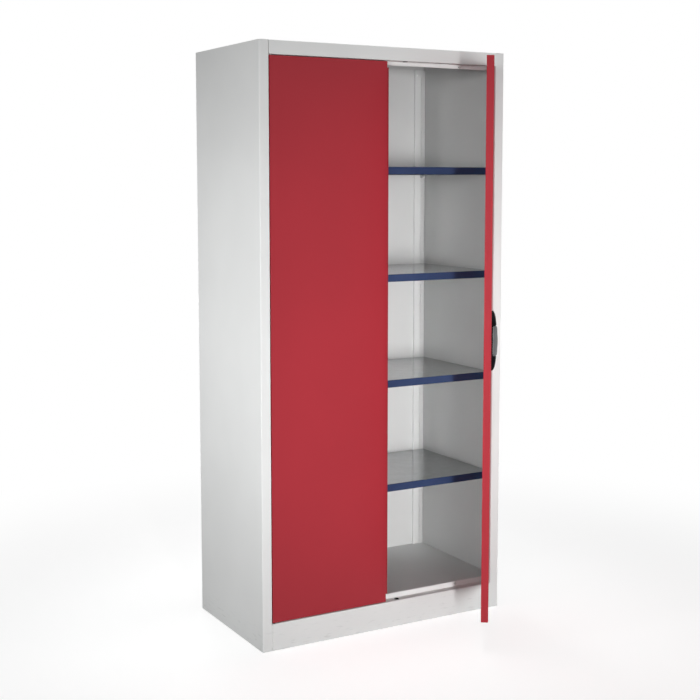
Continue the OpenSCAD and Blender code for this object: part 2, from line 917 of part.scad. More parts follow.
// Lock rod drawn from the pinion's axis: a rack beside the pinion, then a round rod with a pointed tip
module lock_rod(l) {
    rack_low = -rod_travel - rack_spare;
    rack_high = rack_spare + rod_d;
    tip_l = rod_r;
    gaps_below = ceil((rod_travel + rack_spare / 2) / tooth_pitch);
    gaps_above = floor(rack_spare / tooth_pitch);
    difference() {
        block([pitch_r - tooth_module, -rod_r, rack_low], [rod_offset + rod_r, rod_r, rack_high]);
        for (k = [-gaps_below : gaps_above])
            translate([pitch_r, 0, k * tooth_pitch])
                along_y(-rod_d, rod_d)
                    rack_gap();
    }
    translate([rod_offset, 0, rack_high])
        cylinder(r = rod_r, h = l - tip_l - rack_high);
    translate([rod_offset, 0, l - tip_l])
        cylinder(r1 = rod_r, r2 = rod_r / 2, h = tip_l);
}

module upper_lock_rod() {
    color(steel)
        on_right_door()
            translate([lock_x, rod_y, handle_z])
                lock_rod(door_z1 - rod_rest_gap - handle_z);
}

module lower_lock_rod() {
    color(steel)
        on_right_door()
            translate([lock_x, rod_y, handle_z])
                rotate([0, 180, 0])
                    lock_rod(handle_z - door_z0 - rod_rest_gap);
}

module rod_guide(x, z) {
    difference() {
        block([x - guide_w / 2, door_sheet, z], [x + guide_w / 2, guide_back, z + guide_h]);
        post_pin(x, rod_y, z - inside, z + guide_h + inside, rod_r + running_gap);
    }
}

module rod_guides() {
    z_low = door_z0 + door_fold_r;
    z_high = door_z1 - door_fold_r - guide_h;
    color(handle_black)
        on_right_door() {
            rod_guide(lower_rod_x, z_low);
            rod_guide(lower_rod_x, (z_low + handle_z) / 2);
            rod_guide(upper_rod_x, (z_high + handle_z) / 2);
            rod_guide(upper_rod_x, z_high);
        }
}

side_panel_left();
side_panel_right();
back_panel();
roof_panel();
header_rail();
plinth();
floor_panel();
floor_stiffener();
rear_foot_rail();
front_upright_left();
front_upright_right();
rear_upright_left();
rear_upright_right();
shelf(1);  // shelf_1
shelf(2);  // shelf_2
shelf(3);  // shelf_3
shelf(4);  // shelf_4
shelf_edge(1);  // shelf_edge_1
shelf_edge(2);  // shelf_edge_2
shelf_edge(3);  // shelf_edge_3
shelf_edge(4);  // shelf_edge_4
shelf_stiffeners();
shelf_clips();
hinge_plates();
hinge_pins();
thrust_washers();
rod_keepers();
magnet_catches();
door_buffers();
left_door_pan();
left_door_stiffener();
left_hinge_blocks();
strike_lip();
right_door_pan();
right_door_stiffener();
right_hinge_blocks();
handle_base();
handle_screws();
lock_case();
rod_guides();
handle_lever();
lock_pinion();
lock_plug();
upper_lock_rod();
lower_lock_rod();
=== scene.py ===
# %% [markdown]
# # Steel storage cupboard
# The cupboard is a box of folded steel sheet with two doors on hidden pivots, four shelves and a
# rod lock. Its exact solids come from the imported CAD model. This lesson dresses them: it loads the
# solids as a fixed frame, sets up camera, stage and lamps, works out each finish as a procedural
# material, and then makes the moulded, pressed and turned pieces again as smooth surfaces with
# numpy.

# %% Load the frame
import json
from math import pi, radians

import bmesh
import bpy
import numpy as np
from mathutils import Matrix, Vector


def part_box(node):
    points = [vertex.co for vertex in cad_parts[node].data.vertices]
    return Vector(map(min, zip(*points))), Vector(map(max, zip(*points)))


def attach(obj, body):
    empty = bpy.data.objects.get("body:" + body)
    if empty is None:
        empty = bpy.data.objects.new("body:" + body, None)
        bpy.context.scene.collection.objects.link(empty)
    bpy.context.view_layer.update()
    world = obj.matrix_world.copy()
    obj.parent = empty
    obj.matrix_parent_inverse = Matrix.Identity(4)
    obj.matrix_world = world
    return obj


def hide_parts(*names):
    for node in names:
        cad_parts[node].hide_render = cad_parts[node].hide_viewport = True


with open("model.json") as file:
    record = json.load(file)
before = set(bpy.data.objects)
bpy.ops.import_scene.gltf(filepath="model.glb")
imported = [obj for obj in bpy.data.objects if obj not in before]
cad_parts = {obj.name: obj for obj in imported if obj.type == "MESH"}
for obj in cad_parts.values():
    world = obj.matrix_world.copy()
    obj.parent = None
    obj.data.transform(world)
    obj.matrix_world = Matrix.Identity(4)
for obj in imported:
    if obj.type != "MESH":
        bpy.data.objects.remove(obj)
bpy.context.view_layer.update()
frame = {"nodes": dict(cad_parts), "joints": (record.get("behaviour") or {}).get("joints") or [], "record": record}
nodes = frame["nodes"]
joints = {joint["name"]: joint for joint in frame["joints"]}
MM = 0.001

# %% [markdown]
# ## Camera
# The straight edges of the cupboard in the photograph give the camera's place: it stands to the
# left, at eye height, and is turned towards the right side of the front. The upright edges stay
# upright in the picture, so the photographer shifted the lens. Only a small part of that shift is
# used here, and a slight tilt does the rest, because a large shift would cut off the top when the
# same camera looks from other sides.

# %% Camera at the photograph's viewing angle
SENSOR_MM = 36.0
PICTURE_PX = 700
FOCAL_PX = 1263.5
LENS_SHIFT = -0.06
camera_place = (-2.168, -3.5661, 1.5193)
turn_right, tilt_down = 29.597, 5.797

camera_data = bpy.data.cameras.new("camera")
camera_data.sensor_width = SENSOR_MM
camera_data.lens = SENSOR_MM * FOCAL_PX / PICTURE_PX
camera_data.shift_y = LENS_SHIFT
camera = bpy.data.objects.new("camera", camera_data)
camera.location = camera_place
camera.rotation_euler = (radians(90 - tilt_down), 0, radians(-turn_right))
bpy.context.scene.collection.objects.link(camera)
bpy.context.scene.camera = camera
print("lens", round(camera_data.lens, 1), "mm")

# %% [markdown]
# ## Node helpers
# A material is a small network of shader nodes. It could be drawn by hand in the shader editor. In
# a script, a few helpers keep it short: one adds a node and fills or links its inputs, one
# stretches a range of values to another range, one mixes two colours, one gives a cloudy noise,
# and one does sums on two values.

# %% Node helpers
def add(tree, kind, props=None, **inputs):
    """Adds a shader node: each keyword sets the input of that name, or links it to an output."""
    made = tree.nodes.new("ShaderNode" + kind)
    for name, value in (props or {}).items():
        setattr(made, name, value)
    for name, value in inputs.items():
        socket = made.inputs[name]
        if isinstance(value, bpy.types.NodeSocket):
            tree.links.new(value, socket)
        else:
            socket.default_value = value
    return made


def stretch(tree, value, low, high, to_low=0.0, to_high=1.0):
    """Smooth ramp: values from low to high become values from to_low to to_high."""
    ramp = add(tree, "MapRange", {"interpolation_type": "SMOOTHSTEP"}, Value=value)
    ends = {"From Min": low, "From Max": high, "To Min": to_low, "To Max": to_high}
    for name, number in ends.items():
        ramp.inputs[name].default_value = number
    return ramp.outputs[0]


def mixed(tree, share, first, second):
    """Mix of two colours, each given as a colour or as an output."""
    mix = tree.nodes.new("ShaderNodeMix")
    mix.data_type = "RGBA"
    tree.links.new(share, mix.inputs[0])
    for socket, value in zip((mix.inputs[6], mix.inputs[7]), (first, second)):
        if isinstance(value, bpy.types.NodeSocket):
            tree.links.new(value, socket)
        else:
            socket.default_value = (*value, 1)
    return mix.outputs[2]


def noise(tree, where, scale, detail=2.0, stretch_by=None):
    """Cloudy pattern with a number of clouds per metre, stretched along an axis where asked."""
    if stretch_by:
        where = add(tree, "Mapping", Vector=where, Scale=stretch_by).outputs[0]
    return add(tree, "TexNoise", Vector=where, Scale=scale, Detail=detail).outputs[0]


def sums(tree, operation, first, second):
    """Result of a math node on two outputs."""
    made = add(tree, "Math", {"operation": operation})
    tree.links.new(first, made.inputs[0])
    tree.links.new(second, made.inputs[1])
    return made.outputs[0]


print("node helpers:", ", ".join(tool.__name__ for tool in (add, stretch, mixed, noise, sums)))

# %% [markdown]
# ## Floor
# The cupboard stands in a white studio. The floor is a plain diffuse sheet that keeps the
# cupboard's shadow. More light would make it white, but would burn out the pale paint as well. So
# only rays from the camera see it glow, more and more with the distance from the cupboard, until it
# runs into the white background without an edge. The same holds for rays that come from gloss.

# %% Floor
FLOOR_SIZE = 30.0
FLOOR_DROP = 0.2 * MM
FLOOR_GREY = 0.66
FLOOR_GLOW = 0.67
SHADOW_REACH = (0.9, 2.6)
WHITE = (1, 1, 1, 1)


def seen_by_eye(tree):
    """1 for rays from the camera, from gloss and through glass, 0 for those that only light."""
    rays = add(tree, "LightPath").outputs
    shiny = sums(tree, "MAXIMUM", rays["Is Glossy Ray"], rays["Is Transmission Ray"])
    return sums(tree, "MAXIMUM", rays["Is Camera Ray"], shiny)


def two_shaders(tree, kind, first, second, **inputs):
    """Node that adds or mixes the shaders of two nodes."""
    made = add(tree, kind, **inputs)
    for shader, socket in zip((first, second), list(made.inputs)[-2:]):
        tree.links.new(shader.outputs[0], socket)
    return made


def floor_material():
    """Diffuse white that glows towards the eye: partly near the cupboard, fully far from it."""
    material = bpy.data.materials.new("studio_floor")
    material.use_nodes = True
    tree = material.node_tree
    tree.nodes.clear()
    where = add(tree, "TexCoord").outputs["Object"]
    distance = add(tree, "VectorMath", {"operation": "LENGTH"})
    tree.links.new(where, distance.inputs[0])
    far = stretch(tree, distance.outputs["Value"], *SHADOW_REACH)
    matt = add(tree, "BsdfDiffuse", Color=(FLOOR_GREY, FLOOR_GREY, FLOOR_GREY, 1))
    glow = add(tree, "Emission", Color=WHITE, Strength=FLOOR_GLOW)
    white = add(tree, "Emission", Color=WHITE, Strength=1.0)
    near = two_shaders(tree, "AddShader", matt, glow)
    seen = two_shaders(tree, "MixShader", near, white, Fac=far)
    both = two_shaders(tree, "MixShader", matt, seen, Fac=seen_by_eye(tree))
    out = tree.nodes.new("ShaderNodeOutputMaterial")
    tree.links.new(both.outputs[0], out.inputs["Surface"])
    return material


corner = FLOOR_SIZE / 2
floor_corners = [(-corner, -corner, 0), (corner, -corner, 0), (corner, corner, 0),
                 (-corner, corner, 0)]
floor_mesh = bpy.data.meshes.new("studio_floor")
floor_mesh.from_pydata(floor_corners, [], [(0, 1, 2, 3)])
floor_mesh.materials.append(floor_material())
studio_floor = bpy.data.objects.new("studio_floor", floor_mesh)
studio_floor.location.z = -FLOOR_DROP
bpy.context.scene.collection.objects.link(studio_floor)
print("floor", FLOOR_SIZE, "m wide")

# %% [markdown]
# ## White background
# The world is white to the eye, and gives only a weak light from all sides to everything else.
# That light fills the shadows, while the lamps below shape the sheets.

# %% White background
WORLD_LIGHT = 0.26

world = bpy.data.worlds.new("studio")
world.use_nodes = True
sky_tree = world.node_tree
sky = sky_tree.nodes["Background"]
sky.inputs["Color"].default_value = WHITE
sky_strength = stretch(sky_tree, seen_by_eye(sky_tree), 0, 1, WORLD_LIGHT, 1.0)
sky_tree.links.new(sky_strength, sky.inputs["Strength"])
bpy.context.scene.world = world
bpy.context.scene.view_settings.view_transform = "Standard"
print("world light", WORLD_LIGHT)

# %% [markdown]
# ## Lamps
# The open door throws a shadow with a clear edge into the cupboard. So the key lamp is a tall,
# narrow strip that stands well in front, a little to the left, and faces the middle. The sheets
# darken towards the top and the bottom, so the lamps stand at about mid height, and their light is
# held together like that of a grid on a soft box. A second lamp further to the left shines through
# the opening on the right wall, and a third one stands beside the left side panel. Weak ones fill
# the right side, the back and the roof. None shows as a glare spot on the paint: what shines
# mirrors the room.

# %% Lamps
def lamp(name, place, target, width, height, spread, watts):
    """Upright area lamp with a narrow spread that faces a target and doesn't show itself."""
    data = bpy.data.lights.new(name, "AREA")
    data.shape = "RECTANGLE"
    data.size, data.size_y = width, height
    data.spread = radians(spread)
    data.energy = watts
    made = bpy.data.objects.new(name, data)
    made.location = place
    made.rotation_mode = "QUATERNION"
    made.rotation_quaternion = (Vector(target) - Vector(place)).to_track_quat("-Z", "Y")
    made.visible_camera = made.visible_glossy = False
    bpy.context.scene.collection.objects.link(made)


# Place, target, width and height in metres, spread in degrees, and strength in watts.
lamps = {
    "key_lamp": ((-1.76, -5.5, 0.95), (0.06, 0, 0.82), 0.25, 1.7, 31, 9.1),
    "wall_lamp": ((-2.17, -2.16, 1.20), (0.45, 0.30, 1.12), 0.8, 2.0, 22, 1.75),
    "side_lamp": ((-3.10, 0.10, 1.02), (-0.46, 0.26, 1.02), 0.8, 0.9, 58, 4.2),
    "right_lamp": ((2.3, -1.7, 1.00), (0.45, -0.05, 1.00), 0.8, 1.2, 56, 2.2),
    "back_lamp": ((0.5, 3.3, 1.10), (0.0, 0.5, 1.05), 0.8, 1.2, 64, 6.0),
    "top_lamp": ((0.0, 0.24, 4.60), (0.0, 0.25, 0.00), 0.9, 0.5, 36, 1.5),
}
for name, settings in lamps.items():
    lamp(name, *settings)
print(len(lamps), "lamps")

# %% [markdown]
# ## Material helpers
# Every finish starts the same way: a material that knows its finish in the record, a principled
# shader, and the object's own coordinates, so that a pattern stays on its piece when a door swings.

# %% Material helpers
def new_material(name, slot_name):
    """Empty procedural material: its tree, its shader and the coordinates its patterns read."""
    material = bpy.data.materials.new(name)
    material.use_nodes = True
    tree = material.node_tree
    shader = tree.nodes["Principled BSDF"]
    where = add(tree, "TexCoord").outputs["Object"]
    material["slot"] = slot_name
    return material, tree, shader, where


def bumped(tree, shader, height, strength, depth):
    """Bump from a height pattern, with its depth in metres."""
    bump = add(tree, "Bump", Height=height, Strength=strength, Distance=depth)
    tree.links.new(bump.outputs[0], shader.inputs["Normal"])


def toned(colour, factor):
    """Colour times a factor."""
    return [factor * part for part in colour]


print("material helpers:", ", ".join(tool.__name__ for tool in (new_material, bumped, toned)))

# %% [markdown]
# ## Powder coat
# Carcass and doors are powder coated. The powder melts to an even skin with a fine orange peel, a
# few millimetres from bump to bump, and its gloss changes a little from place to place. Noise on
# the object's own coordinates gives all three: a slow drift of the colour, a fine peel for the
# bump, and the gloss. Shoes and brooms leave faint level scuffs near the floor: a noise that is
# squeezed upright, so that its clouds lie level, and fades out with the height.

# %% Powder coat
DRIFT_PER_M, PEEL_PER_M, SCUFFS_PER_M = 2.2, 380.0, 24.0
DRIFT_SHADE, SCUFF_SHADE = 0.955, 0.5
SCUFF_SQUEEZE = (1.0, 1.0, 5.0)
SCUFF_HEIGHTS = (10 * MM, 110 * MM)
SCUFF_MOST = 0.3
REBATE_DEPTHS = (8 * MM, 20 * MM)
PEEL_STRENGTH, PEEL_DEPTH = 0.16, 0.3 * MM
COAT_SHINE = 0.28


def powder_coat(name, slot_name, colour, gloss, painted_light_colour=None):
    """Powder coat of one colour, scuffed near the floor, or with a lighter one in the rebate behind
    the doors as painted light for the brighter light there. The rebate is found by its depth along
    Y, the scuffs by their height along Z."""
    material, tree, shader, where = new_material(name, slot_name)
    drift = noise(tree, where, DRIFT_PER_M, 3.0)
    peel = noise(tree, where, PEEL_PER_M)
    paint = mixed(tree, stretch(tree, drift, 0.35, 0.65), toned(colour, DRIFT_SHADE), colour)
    place = add(tree, "SeparateXYZ", Vector=where).outputs
    if painted_light_colour:
        # Painted light: the rebate behind the doors takes a lighter colour that stands in for the brighter light
        # there.
        paint = mixed(tree, stretch(tree, place["Y"], *REBATE_DEPTHS), paint, painted_light_colour)
    scuffs = noise(tree, where, SCUFFS_PER_M, 5.0, stretch_by=SCUFF_SQUEEZE)
    rubbed = stretch(tree, scuffs, 0.56, 0.74)
    low_down = stretch(tree, place["Z"], *SCUFF_HEIGHTS, SCUFF_MOST, 0.0)
    scuffed = sums(tree, "MULTIPLY", rubbed, low_down)
    paint = mixed(tree, scuffed, paint, toned(colour, SCUFF_SHADE))
    tree.links.new(paint, shader.inputs["Base Color"])
    roughness = stretch(tree, peel, 0.3, 0.7, gloss - 0.05, gloss + 0.06)
    tree.links.new(roughness, shader.inputs["Roughness"])
    shader.inputs["Specular IOR Level"].default_value = COAT_SHINE
    bumped(tree, shader, peel, PEEL_STRENGTH, PEEL_DEPTH)
    return material


grey = (0.80, 0.81, 0.805)
# The lighter grey is painted light: it stands in for the brighter light behind the doors, on the frame's rebate,
# the uprights and the back.
painted_light_grey = (0.86, 0.87, 0.865)
red = (0.36, 0.026, 0.037)
carcass_paint = powder_coat("carcass_paint", "carcass_paint", grey, 0.42)
frame_paint_with_painted_light = powder_coat("frame_paint_with_painted_light", "carcass_paint", grey, 0.42, painted_light_grey)
upright_painted_light = powder_coat("upright_painted_light", "carcass_paint", painted_light_grey, 0.36)
door_paint = powder_coat("door_paint", "door_paint", red, 0.40)
print("powder coats:", carcass_paint.name, frame_paint_with_painted_light.name, upright_painted_light.name, door_paint.name)

# %% [markdown]
# ## Bright steel
# The shelves are smooth galvanised sheet: they mirror the back wall, a little blurred along the
# rolling direction, and the zinc has set in faint flat crystals, called spangle. Cells of a Voronoi
# pattern, each with its own random grey, stand for them. The lock and the hinges are zinc plated:
# duller, with a cloudy bloom.

# %% Bright steel
BLOOM_PER_M, LINES_PER_M, SPANGLE_PER_M = 26.0, 60.0, 85.0
BLOOM_SHADE, SPANGLE_SHADE = 0.86, 0.7
LINE_STRENGTH, LINE_DEPTH = 0.05, 0.1 * MM


def rolled_steel(name, slot_name, colour, gloss, grain_along, spangle):
    """Zinc coated steel: rolling lines along one axis in gloss and bump, a cloudy bloom, and
    spangle cells that darken the colour by up to the given share."""
    material, tree, shader, where = new_material(name, slot_name)
    bloom = noise(tree, where, BLOOM_PER_M, 3.0)
    lines = noise(tree, where, LINES_PER_M, stretch_by=grain_along)
    cells = add(tree, "TexVoronoi", Vector=where, Scale=SPANGLE_PER_M).outputs["Color"]
    crystal = add(tree, "SeparateXYZ", Vector=cells).outputs["X"]
    zinc = mixed(tree, stretch(tree, bloom, 0.3, 0.7), toned(colour, BLOOM_SHADE), colour)
    darker = stretch(tree, crystal, 0.0, 1.0, 0.0, spangle)
    zinc = mixed(tree, darker, zinc, toned(colour, SPANGLE_SHADE))
    tree.links.new(zinc, shader.inputs["Base Color"])
    roughness = stretch(tree, lines, 0.25, 0.75, gloss - 0.04, gloss + 0.06)
    tree.links.new(roughness, shader.inputs["Roughness"])
    shader.inputs["Metallic"].default_value = 1.0
    bumped(tree, shader, lines, LINE_STRENGTH, LINE_DEPTH)
    return material


shelf_steel = rolled_steel("shelf_steel", "shelf_steel", (0.38, 0.39, 0.395), gloss=0.15,
                           grain_along=(0.25, 12.0, 12.0), spangle=0.3)
zinc_steel = rolled_steel("zinc_steel", "zinc_steel", (0.62, 0.63, 0.635), gloss=0.30,
                          grain_along=(6.0, 6.0, 0.5), spangle=0.12)
print("steels:", shelf_steel.name, zinc_steel.name)

# %% [markdown]
# ## Enamel, plastic and rubber
# The shelf edges are dark blue and glossy, with a slight metallic sheen. The handle is moulded
# plastic with the fine grain of an eroded mould, and the buffers are pale rubber that hardly shows
# against the paint. All have faint clouds in the colour, large on the long edges and small on the
# handle, so one function makes them all.

# %% Enamel, plastic and rubber
CLOUD_GAIN, CLOUD_LIFT = 1.25, 0.004
GRAIN_STRENGTH = 0.25


def moulded(name, slot_name, colour, gloss, grain, depth, shine, clouds_per_m=40.0, sheen=0.0,
            uneven=0.07):
    """Moulded or enamelled surface: an even colour with faint paler clouds, and a grain in bump
    and gloss."""
    material, tree, shader, where = new_material(name, slot_name)
    shader.inputs["Metallic"].default_value = sheen
    shader.inputs["Specular IOR Level"].default_value = shine
    clouds = noise(tree, where, clouds_per_m)
    fine = noise(tree, where, grain)
    pale = [CLOUD_GAIN * part + CLOUD_LIFT for part in colour]
    tint = mixed(tree, stretch(tree, clouds, 0.35, 0.7), colour, pale)
    tree.links.new(tint, shader.inputs["Base Color"])
    roughness = stretch(tree, fine, 0.3, 0.7, gloss - uneven, gloss + uneven)
    tree.links.new(roughness, shader.inputs["Roughness"])
    bumped(tree, shader, fine, GRAIN_STRENGTH, depth)
    return material


edge_enamel = moulded("edge_enamel", "shelf_edge_blue", (0.048, 0.083, 0.19), gloss=0.24,
                      grain=300.0, depth=0.004 * MM, shine=0.2, clouds_per_m=3.0, sheen=0.35,
                      uneven=0.02)
black_plastic = moulded("black_plastic", "black_plastic", (0.004, 0.004, 0.005), gloss=0.42,
                        grain=1400.0, depth=0.12 * MM, shine=0.06)
lever_plastic = moulded("lever_plastic", "lever_plastic", (0.125, 0.132, 0.135), gloss=0.42,
                        grain=1400.0, depth=0.12 * MM, shine=0.30)
buffer_rubber = moulded("buffer_rubber", "buffer_rubber", (0.60, 0.61, 0.60), gloss=0.45,
                        grain=900.0, depth=0.05 * MM, shine=0.3)
print("moulded:", edge_enamel.name, black_plastic.name, lever_plastic.name, buffer_rubber.name)

# %% [markdown]
# ## Finish of every solid
# The record names a finish for each CAD node, and the node's object takes the material that was
# made for it. The front frame, the uprights and the back differ from the record in tone only: they
# are lighter behind the doors, as painted light that stands in for the brighter light inside.

# %% Finish of every solid
finishes = {material["slot"]: material for material in
            (carcass_paint, door_paint, shelf_steel, zinc_steel, edge_enamel, black_plastic,
             lever_plastic, buffer_rubber)}
# The frame, the uprights and the back take the lighter tone, which is painted light for the brighter light inside.
lighter = {"header_rail": frame_paint_with_painted_light, "plinth": frame_paint_with_painted_light, "back_panel": upright_painted_light}
lighter.update({name: upright_painted_light for name in nodes if "upright" in name})


def dress(piece, material):
    """Gives every material slot of an object one material."""
    if not piece.material_slots:
        piece.data.materials.append(material)
    for material_slot in piece.material_slots:
        material_slot.material = material


for part in frame["record"]["subparts"]:
    finish = finishes[part["material_slot"]]
    dress(nodes[part["node"]], lighter.get(part["node"], finish))
print(len(nodes), "nodes dressed in", len(finishes), "finishes,", len(lighter), "in a lighter tone")

# %% [markdown]
# ## Surfaces from grids
# A moulded or turned piece has one smooth skin. It could be carved from a cube with modifiers, but
# a formula says the shape more exactly: numpy lays it out as a grid of points, rows by columns, and
# every four neighbours become one face. Where a row shrinks to a point, or the last column meets
# the first, the points are merged, so the skin closes without a seam.

# %% Surfaces from grids
MERGE_WITHIN = 0.002 * MM
SHARP_FROM = radians(35)


def skin(name, grids, body, material, *stands_for):
    """Closed skin over grids of points: each row of a grid runs round and meets itself again."""
    points, faces, count = [], [], 0
    for grid in grids:
        index = count + np.arange(grid.shape[0] * grid.shape[1]).reshape(grid.shape[:2])
        after = np.roll(index, -1, axis=1)
        corners = np.stack([index[:-1], after[:-1], after[1:], index[1:]], axis=-1)
        faces.append(corners.reshape(-1, 4))
        points.append(grid.reshape(-1, 3))
        count += index.size
    mesh = bpy.data.meshes.new(name)
    mesh.from_pydata(np.concatenate(points).tolist(), [], np.concatenate(faces).tolist())
    work = bmesh.new()
    work.from_mesh(mesh)
    bmesh.ops.remove_doubles(work, verts=work.verts, dist=MERGE_WITHIN)
    bmesh.ops.recalc_face_normals(work, faces=work.faces)
    work.to_mesh(mesh)
    work.free()
    mesh.polygons.foreach_set("use_smooth", np.ones(len(mesh.polygons), dtype=bool))
    mesh.set_sharp_from_angle(angle=SHARP_FROM)
    piece = bpy.data.objects.new(name, mesh)
    bpy.context.scene.collection.objects.link(piece)
    dress(piece, material)
    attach(piece, body)
    if stands_for:
        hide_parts(*stands_for)
    print(name, len(mesh.polygons), "faces")


def oval(share, power):
    """Superellipse: its height, from 0 to 1, over a share of its half width, from -1 to 1."""
    return np.maximum(1 - np.abs(share) ** power, 0) ** (1 / power)


def soft_step(value):
    """Smooth step: 0 below 0, 1 above 1, and level at both ends."""
    share = np.clip(value, 0, 1)
    return share * share * (3 - 2 * share)


def crowded(count):
    """Shares from -1 to 1 that crowd towards both ends, where an oval is steep."""
    return np.sin(np.linspace(-pi / 2, pi / 2, count))


def round_turn(count):
    """Angles of one whole turn in equal steps, without the last one, which is the first again."""
    return np.linspace(0, 2 * pi, count, endpoint=False)


print("half way out, an oval of power 5 still has", round(float(oval(0.5, 5)), 3), "of its height")

# %% [markdown]
# ## Handle base
# The black base is injection moulded. It is a long oval in plan and a low dome from the side, and
# the lever sinks into a round well in its middle. Two ovals give the dome, one along the length and
# a fuller one across it. Near the spindle a smooth step takes the height down to the floor of the
# well. The handle's own directions come from its joint, so the base stands on the open door without
# any measuring.

# %% Handle base
spindle_foot = np.array(joints["handle_turn"]["pos_m"])
outward = np.array(joints["handle_turn"]["axis"])
upward = np.array([0.0, 0.0, 1.0])
across = np.cross(upward, outward)
base_low, base_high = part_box("handle_base")
base_half_l = (base_high[2] - base_low[2]) / 2
base_half_w = 22 * MM
base_height = 17 * MM
plan_power, crown_power = 2.6, 5
well_floor = 5 * MM
well_reach = 50.95 * MM
well_edge = 2.5 * MM


def on_handle(x, height, z):
    """Points given by the handle's own directions: across the door, out of it, and up."""
    x, height, z = np.broadcast_arrays(x, height, z)
    sideways, out, up = x[..., None] * across, height[..., None] * outward, z[..., None] * upward
    return spindle_foot + sideways + out + up


def base_surface(rows, columns):
    """Half width and height follow one oval along the length, and the height a fuller oval across
    it. Within the lever's reach from the spindle the height steps down to the floor of the well."""
    along = crowded(rows)[:, None]
    beside = crowded(columns)[None, :]
    x = base_half_w * oval(along, plan_power) * beside
    z = base_half_l * along
    dome = base_height * oval(along, plan_power) * oval(beside, crown_power)
    outside = soft_step((np.hypot(x, z) - well_reach) / well_edge)
    sunk = well_floor + (dome - well_floor) * outside
    return on_handle(x, np.where(dome > well_floor, sunk, dome), z)


skin("handle_base_skin", [base_surface(480, 61)], "right_door", black_plastic, "handle_base")

# %% [markdown]
# ## Lever
# The grey lever is a domed bar with a hollow for the thumb on either side of the lock plug, so that
# it turns with two fingers. Its skin is a set of rings: they start in the bore for the plug, come
# up its wall, spread over the top until they reach the oval outline, and close again under the
# lever.

# %% Lever
lever_half_l = 49 * MM
lever_half_w = 12 * MM
lever_top, lever_under = 20 * MM, 5.5 * MM
outline_power, top_power = 4, 5
bore_r, bore_floor = 6.05 * MM, 11 * MM
bore_lip = 0.6 * MM
thumb_z, thumb_depth = 27 * MM, 1.8 * MM
thumb_half_l, thumb_half_w = 11 * MM, 7 * MM


def lever_surface(rings, sectors):
    """Rings round the plug: the radius grows from the bore to the outline, an oval of the fourth
    power. The height falls as an oval of the share of that radius, less a hollow on each side of
    the plug, which is a bell curve along and across the lever."""
    turn = round_turn(sectors)
    angle = np.arctan2(lever_half_l * np.sin(turn), lever_half_w * np.cos(turn))[None, :]
    side, end = np.cos(angle), np.sin(angle)
    rim = ((side / lever_half_w) ** outline_power
           + (end / lever_half_l) ** outline_power) ** (-1 / outline_power)
    spread = 1 - (1 - np.linspace(0, 1, rings)[:, None]) ** 2
    radius = bore_r + bore_lip + (rim - bore_r - bore_lip) * spread
    x, z = radius * side, radius * end
    hollow = np.exp(-((np.abs(z) - thumb_z) / thumb_half_l) ** 2 - (x / thumb_half_w) ** 2)
    dome = (lever_top - lever_under) * oval(radius / rim, top_power)
    top = lever_under + dome - thumb_depth * hollow
    top[-1] = lever_under
    level = np.zeros_like(rim)
    radius = np.vstack([level, level + bore_r, level + bore_r, radius, level])
    height = np.vstack([level + bore_floor, level + bore_floor, top[:1] - bore_lip, top,
                        level + lever_under])
    return on_handle(radius * side, height, radius * end)


skin("handle_lever_skin", [lever_surface(44, 160)], "handle", lever_plastic, "handle_lever")

# %% [markdown]
# ## Buffers
# Small rubber buffers soften the doors' stop. Like the keepers below they are round, so a profile
# of radius and height is turned about an axis. The rubber is pressed with a soft rim, which is a
# quarter round in the profile.

# %% Buffers
def turned(profile, place, axis, sectors=48):
    """Points of a profile of radius and height, turned about an axis through a place."""
    axis = np.asarray(axis, dtype=float)
    first = np.cross(axis, upward) if abs(axis[2]) < 0.5 else np.array([1.0, 0.0, 0.0])
    second = np.cross(axis, first)
    angle = round_turn(sectors)[:, None]
    ring = np.cos(angle) * first + np.sin(angle) * second
    radius, height = np.array(profile).T[:, :, None, None]
    return np.asarray(place) + radius * ring + height * axis


def eased(radius, height, ease, outside=1, steps=6):
    """Quarter round of a profile, from the side at that radius to the top at that height."""
    angle = np.linspace(0, pi / 2, steps)
    inwards, down = ease * (1 - np.cos(angle)), ease * (1 - np.sin(angle))
    return list(zip(radius - outside * inwards, height - down))


buffer_low, buffer_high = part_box("door_buffers")
buffer_r = 4.5 * MM
buffer_neck = 0.86 * buffer_r
buffer_ease = 1.2 * MM
buffer_l = buffer_high[1] - buffer_low[1]
buffer_profile = [(0, 0), (buffer_r, 0), *eased(buffer_neck, buffer_l, buffer_ease), (0, buffer_l)]
buffers = [turned(buffer_profile, (x, buffer_high[1], z), (0, -1, 0))
           for x in (buffer_low[0] + buffer_r, buffer_high[0] - buffer_r)
           for z in (buffer_low[2] + buffer_r, buffer_high[2] - buffer_r)]
skin("door_buffer_skin", buffers, "carcass", buffer_rubber, "door_buffers")

# %% [markdown]
# ## Rod keepers
# The keepers are bushes of black plastic in the plinth's ledge and under the header. A collar lies
# on the sheet, and the mouth of the bore is eased so that the tip of the lock rod finds its way in.
# One profile serves both: the upper keeper is the lower one upside down.

